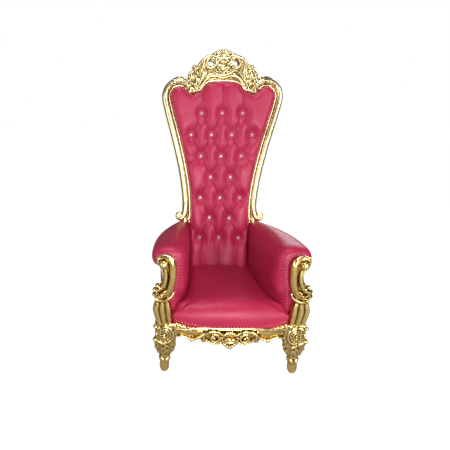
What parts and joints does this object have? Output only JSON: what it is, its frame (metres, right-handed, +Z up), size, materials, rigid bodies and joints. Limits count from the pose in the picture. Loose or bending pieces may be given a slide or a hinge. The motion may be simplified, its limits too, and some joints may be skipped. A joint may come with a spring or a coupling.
{
  "type": "ceremonial throne armchair",
  "caption": "High-back ceremonial armchair with a carved gilded frame, a buttoned leather back, a padded seat and rolled arms.",
  "frame": {"origin": "on the floor, below the middle of the chair's overall box", "axes": "+Z up, the sitter faces -Y, +X is to the right as seen from the front"},
  "size_m": [0.864, 0.7697, 1.7945],
  "materials": {
    "gilt": "bright gold leaf over carved wood",
    "leather": "soft deep pink leather, satin",
    "crystal": "faceted, pale pink sparkle"
  },
  "bodies": {
    "root": {"crest_rail": "gilt", "front_apron": "gilt", "back_rail": "gilt", "back_stile_left": "gilt", "back_stile_right": "gilt", "front_post_left": "gilt", "front_post_right": "gilt", "side_rail_left": "gilt", "side_rail_right": "gilt", "back_leg_left": "gilt", "back_leg_right": "gilt", "back_pad": "leather", "outside_back": "leather", "seat_pad": "leather", "arm_pad_left": "leather", "arm_pad_right": "leather", "back_button_01": "crystal", "back_button_02": "crystal", "back_button_03": "crystal", "back_button_04": "crystal", "back_button_05": "crystal", "back_button_06": "crystal", "back_button_07": "crystal", "back_button_08": "crystal", "back_button_09": "crystal", "back_button_10": "crystal", "back_button_11": "crystal", "back_button_12": "crystal", "back_button_13": "crystal", "back_button_14": "crystal", "back_button_15": "crystal", "back_button_16": "crystal", "back_button_17": "crystal", "back_button_18": "crystal", "back_button_19": "crystal", "back_button_20": "crystal"}
  },
  "joints": []
}
